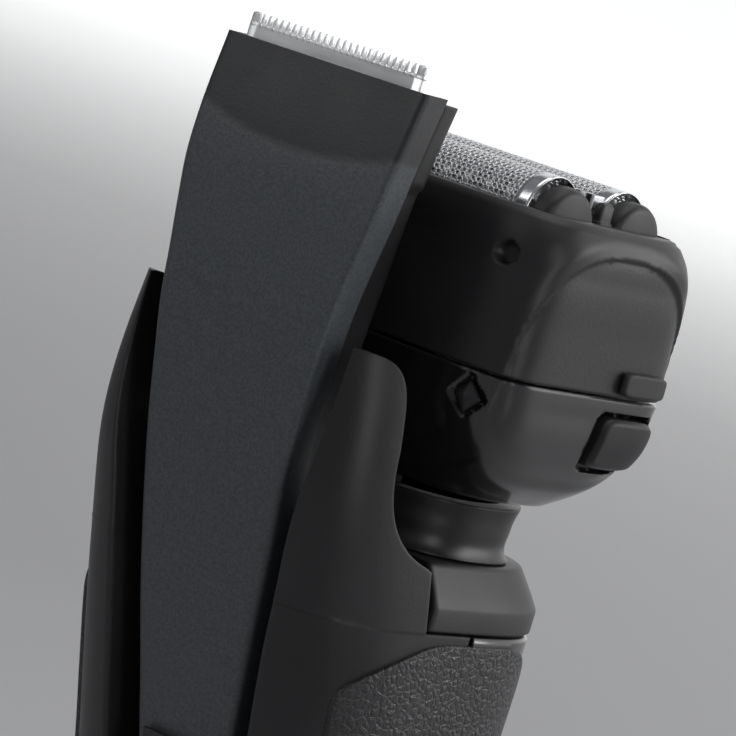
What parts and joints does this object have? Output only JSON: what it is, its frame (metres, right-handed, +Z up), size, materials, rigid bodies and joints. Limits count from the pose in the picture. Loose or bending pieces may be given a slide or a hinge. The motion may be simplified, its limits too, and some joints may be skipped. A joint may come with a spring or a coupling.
{
  "type": "electric foil shaver",
  "caption": "Black foil shaver with a tilting two-foil head, leather-grained grips and a slide-up long-hair trimmer raised at its back.",
  "frame": {"origin": "centre of the flat base that the shaver stands on", "axes": "+Z up along the handle to the foils, +X across the width, -Y towards the back, where the trimmer slides"},
  "size_m": [0.0638, 0.0578, 0.1734],
  "materials": {
    "satin_black": "satin",
    "gloss_black": "gloss",
    "textured_grey": "fine spark texture",
    "grip_rubber": "leather grain",
    "seal_rubber": "satin",
    "steel": "fine brushed",
    "foil_steel": "perforated, polished",
    "inner_plastic": "moulded",
    "brass_pin": "polished",
    "smoke_lens": "polished",
    "battery_wrap": "shrink wrap",
    "board_green": "solder mask"
  },
  "bodies": {
    "handle": {"rear_housing": "satin_black", "front_housing": "gloss_black", "right_grip": "grip_rubber", "left_grip": "grip_rubber", "collar": "satin_black", "neck_boot": "seal_rubber", "neck_post": "inner_plastic", "base_screw_left": "steel", "base_screw_right": "steel", "base_cap": "satin_black", "charging_socket": "inner_plastic", "socket_pin_left": "brass_pin", "socket_pin_right": "brass_pin", "button_ring": "steel", "display_window": "smoke_lens", "battery": "battery_wrap", "circuit_board": "board_green", "chassis": "inner_plastic"},
    "power_switch": {"power_button": "satin_black"},
    "trimmer": {"trimmer_cover": "textured_grey", "trimmer_frame": "satin_black", "trimmer_comb": "steel", "thumb_pad": "grip_rubber", "slide_runner": "inner_plastic"},
    "trimmer_drive": {"trimmer_cutter": "steel", "cutter_arm": "inner_plastic"},
    "head": {"head_cradle": "gloss_black", "pivot_pin": "steel", "stop_wedge_left": "satin_black", "stop_wedge_right": "satin_black", "release_spring_left": "steel", "release_spring_right": "steel", "linear_motor": "inner_plastic", "drive_deck": "inner_plastic"},
    "release_left": {"release_button_left": "satin_black"},
    "release_right": {"release_button_right": "satin_black"},
    "blade_drive": {"drive_bridge": "inner_plastic"},
    "rear_blade": {"rear_inner_blade": "steel"},
    "front_blade": {"front_inner_blade": "steel"},
    "foil_unit": {"foil_frame": "satin_black", "release_tab_left": "satin_black", "release_tab_right": "satin_black", "foil_cassette": "inner_plastic", "slit_trimmer": "steel", "slit_cap_left": "satin_black", "slit_cap_right": "satin_black"},
    "rear_foil_unit": {"rear_foil": "foil_steel", "rear_foil_cap_left": "satin_black", "rear_foil_cap_right": "satin_black"},
    "front_foil_unit": {"front_foil": "foil_steel", "front_foil_cap_left": "satin_black", "front_foil_cap_right": "satin_black"}
  },
  "joints": [
    {"name": "trimmer_slide", "type": "slide", "parent": "handle", "child": "trimmer", "axis": [0, 0.0896, -0.996], "range_m": [0, 0.03]},
    {"name": "trimmer_stroke", "type": "slide", "parent": "trimmer", "child": "trimmer_drive", "axis": [1, 0, 0], "range_m": [-0.001, 0.001], "stiffness_N_per_m": 20},
    {"name": "head_tilt", "type": "hinge", "parent": "handle", "child": "head", "pos_m": [0, -0.0024, 0.1277], "axis": [1, 0, 0], "range_deg": [-5, 4], "stiffness_Nm_per_rad": 0.6},
    {"name": "release_left_press", "type": "slide", "parent": "head", "child": "release_left", "axis": [1, 0, 0], "range_m": [0, 0.0012], "stiffness_N_per_m": 900},
    {"name": "release_right_press", "type": "slide", "parent": "head", "child": "release_right", "axis": [-1, 0, 0], "range_m": [0, 0.0012], "stiffness_N_per_m": 900},
    {"name": "blade_stroke", "type": "slide", "parent": "head", "child": "blade_drive", "axis": [1, 0, 0], "range_m": [-0.001, 0.001], "stiffness_N_per_m": 150},
    {"name": "rear_blade_float", "type": "slide", "parent": "blade_drive", "child": "rear_blade", "axis": [0, 0, -1], "range_m": [0, 0.0012], "stiffness_N_per_m": 300},
    {"name": "front_blade_float", "type": "slide", "parent": "blade_drive", "child": "front_blade", "axis": [0, 0, -1], "range_m": [0, 0.0012], "stiffness_N_per_m": 300},
    {"name": "foil_frame_lift", "type": "slide", "parent": "head", "child": "foil_unit", "axis": [0, 0, 1], "range_m": [0, 0.025]},
    {"name": "rear_foil_float", "type": "slide", "parent": "foil_unit", "child": "rear_foil_unit", "axis": [0, 0, -1], "range_m": [0, 0.0012], "stiffness_N_per_m": 300},
    {"name": "front_foil_float", "type": "slide", "parent": "foil_unit", "child": "front_foil_unit", "axis": [0, 0, -1], "range_m": [0, 0.0012], "stiffness_N_per_m": 300},
    {"name": "power_press", "type": "slide", "parent": "handle", "child": "power_switch", "axis": [0, -1, 0], "range_m": [0, 0.0009], "stiffness_N_per_m": 900}
  ],
  "couplings": [
    {"joint": "rear_blade_float", "follows": "rear_foil_float", "ratio": 1},
    {"joint": "front_blade_float", "follows": "front_foil_float", "ratio": 1}
  ]
}
